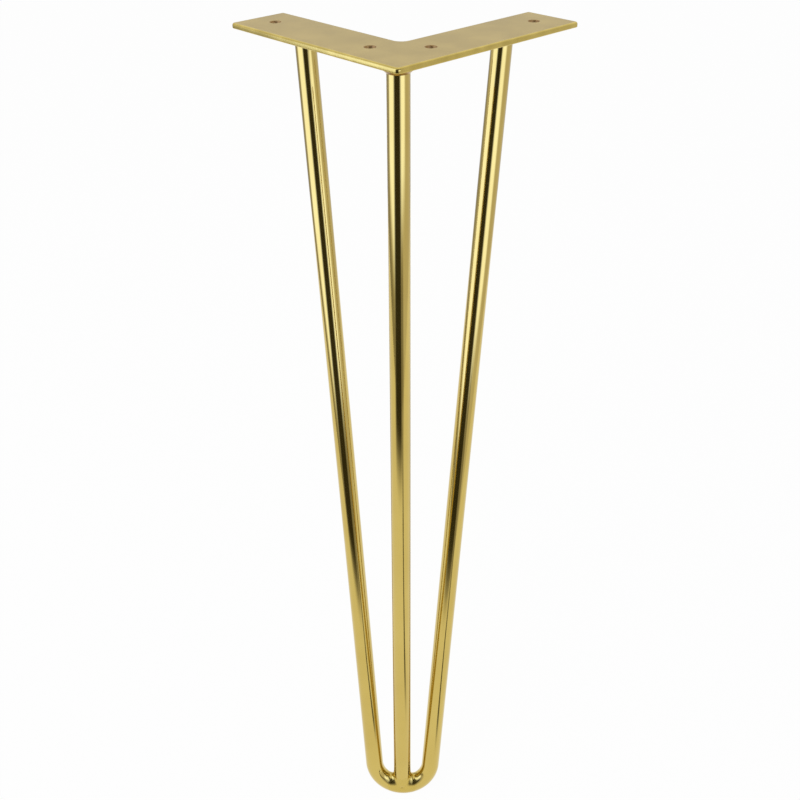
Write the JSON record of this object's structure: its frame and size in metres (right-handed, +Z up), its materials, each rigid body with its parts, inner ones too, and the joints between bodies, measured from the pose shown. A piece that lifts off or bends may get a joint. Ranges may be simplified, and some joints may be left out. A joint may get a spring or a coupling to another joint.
{
  "type": "hairpin table leg",
  "caption": "Welded table leg: a rod bent into a long U and a straight rod under an L-shaped screw plate.",
  "frame": {"origin": "on the plate's top face, where the centre lines of its two arms cross", "axes": "+Z up out of the plate's top face, with the foot at -Z; the plate's outer corner points to -Y and its arms run back to +X+Y and -X+Y; the leg is symmetric about X = 0"},
  "size_m": [0.1614, 0.1599, 0.4],
  "materials": {
    "plate_finish": "satin gold plating on flat steel",
    "rod_finish": "bright gold plating on polished steel rod",
    "weld_finish": "gold plating over a small weld bead"
  },
  "bodies": {
    "root": {"mounting_plate": "plate_finish", "hairpin_rod": "rod_finish", "centre_rod": "rod_finish", "corner_weld": "weld_finish", "left_weld": "weld_finish", "right_weld": "weld_finish", "left_foot_weld": "rod_finish", "right_foot_weld": "rod_finish"}
  },
  "joints": []
}
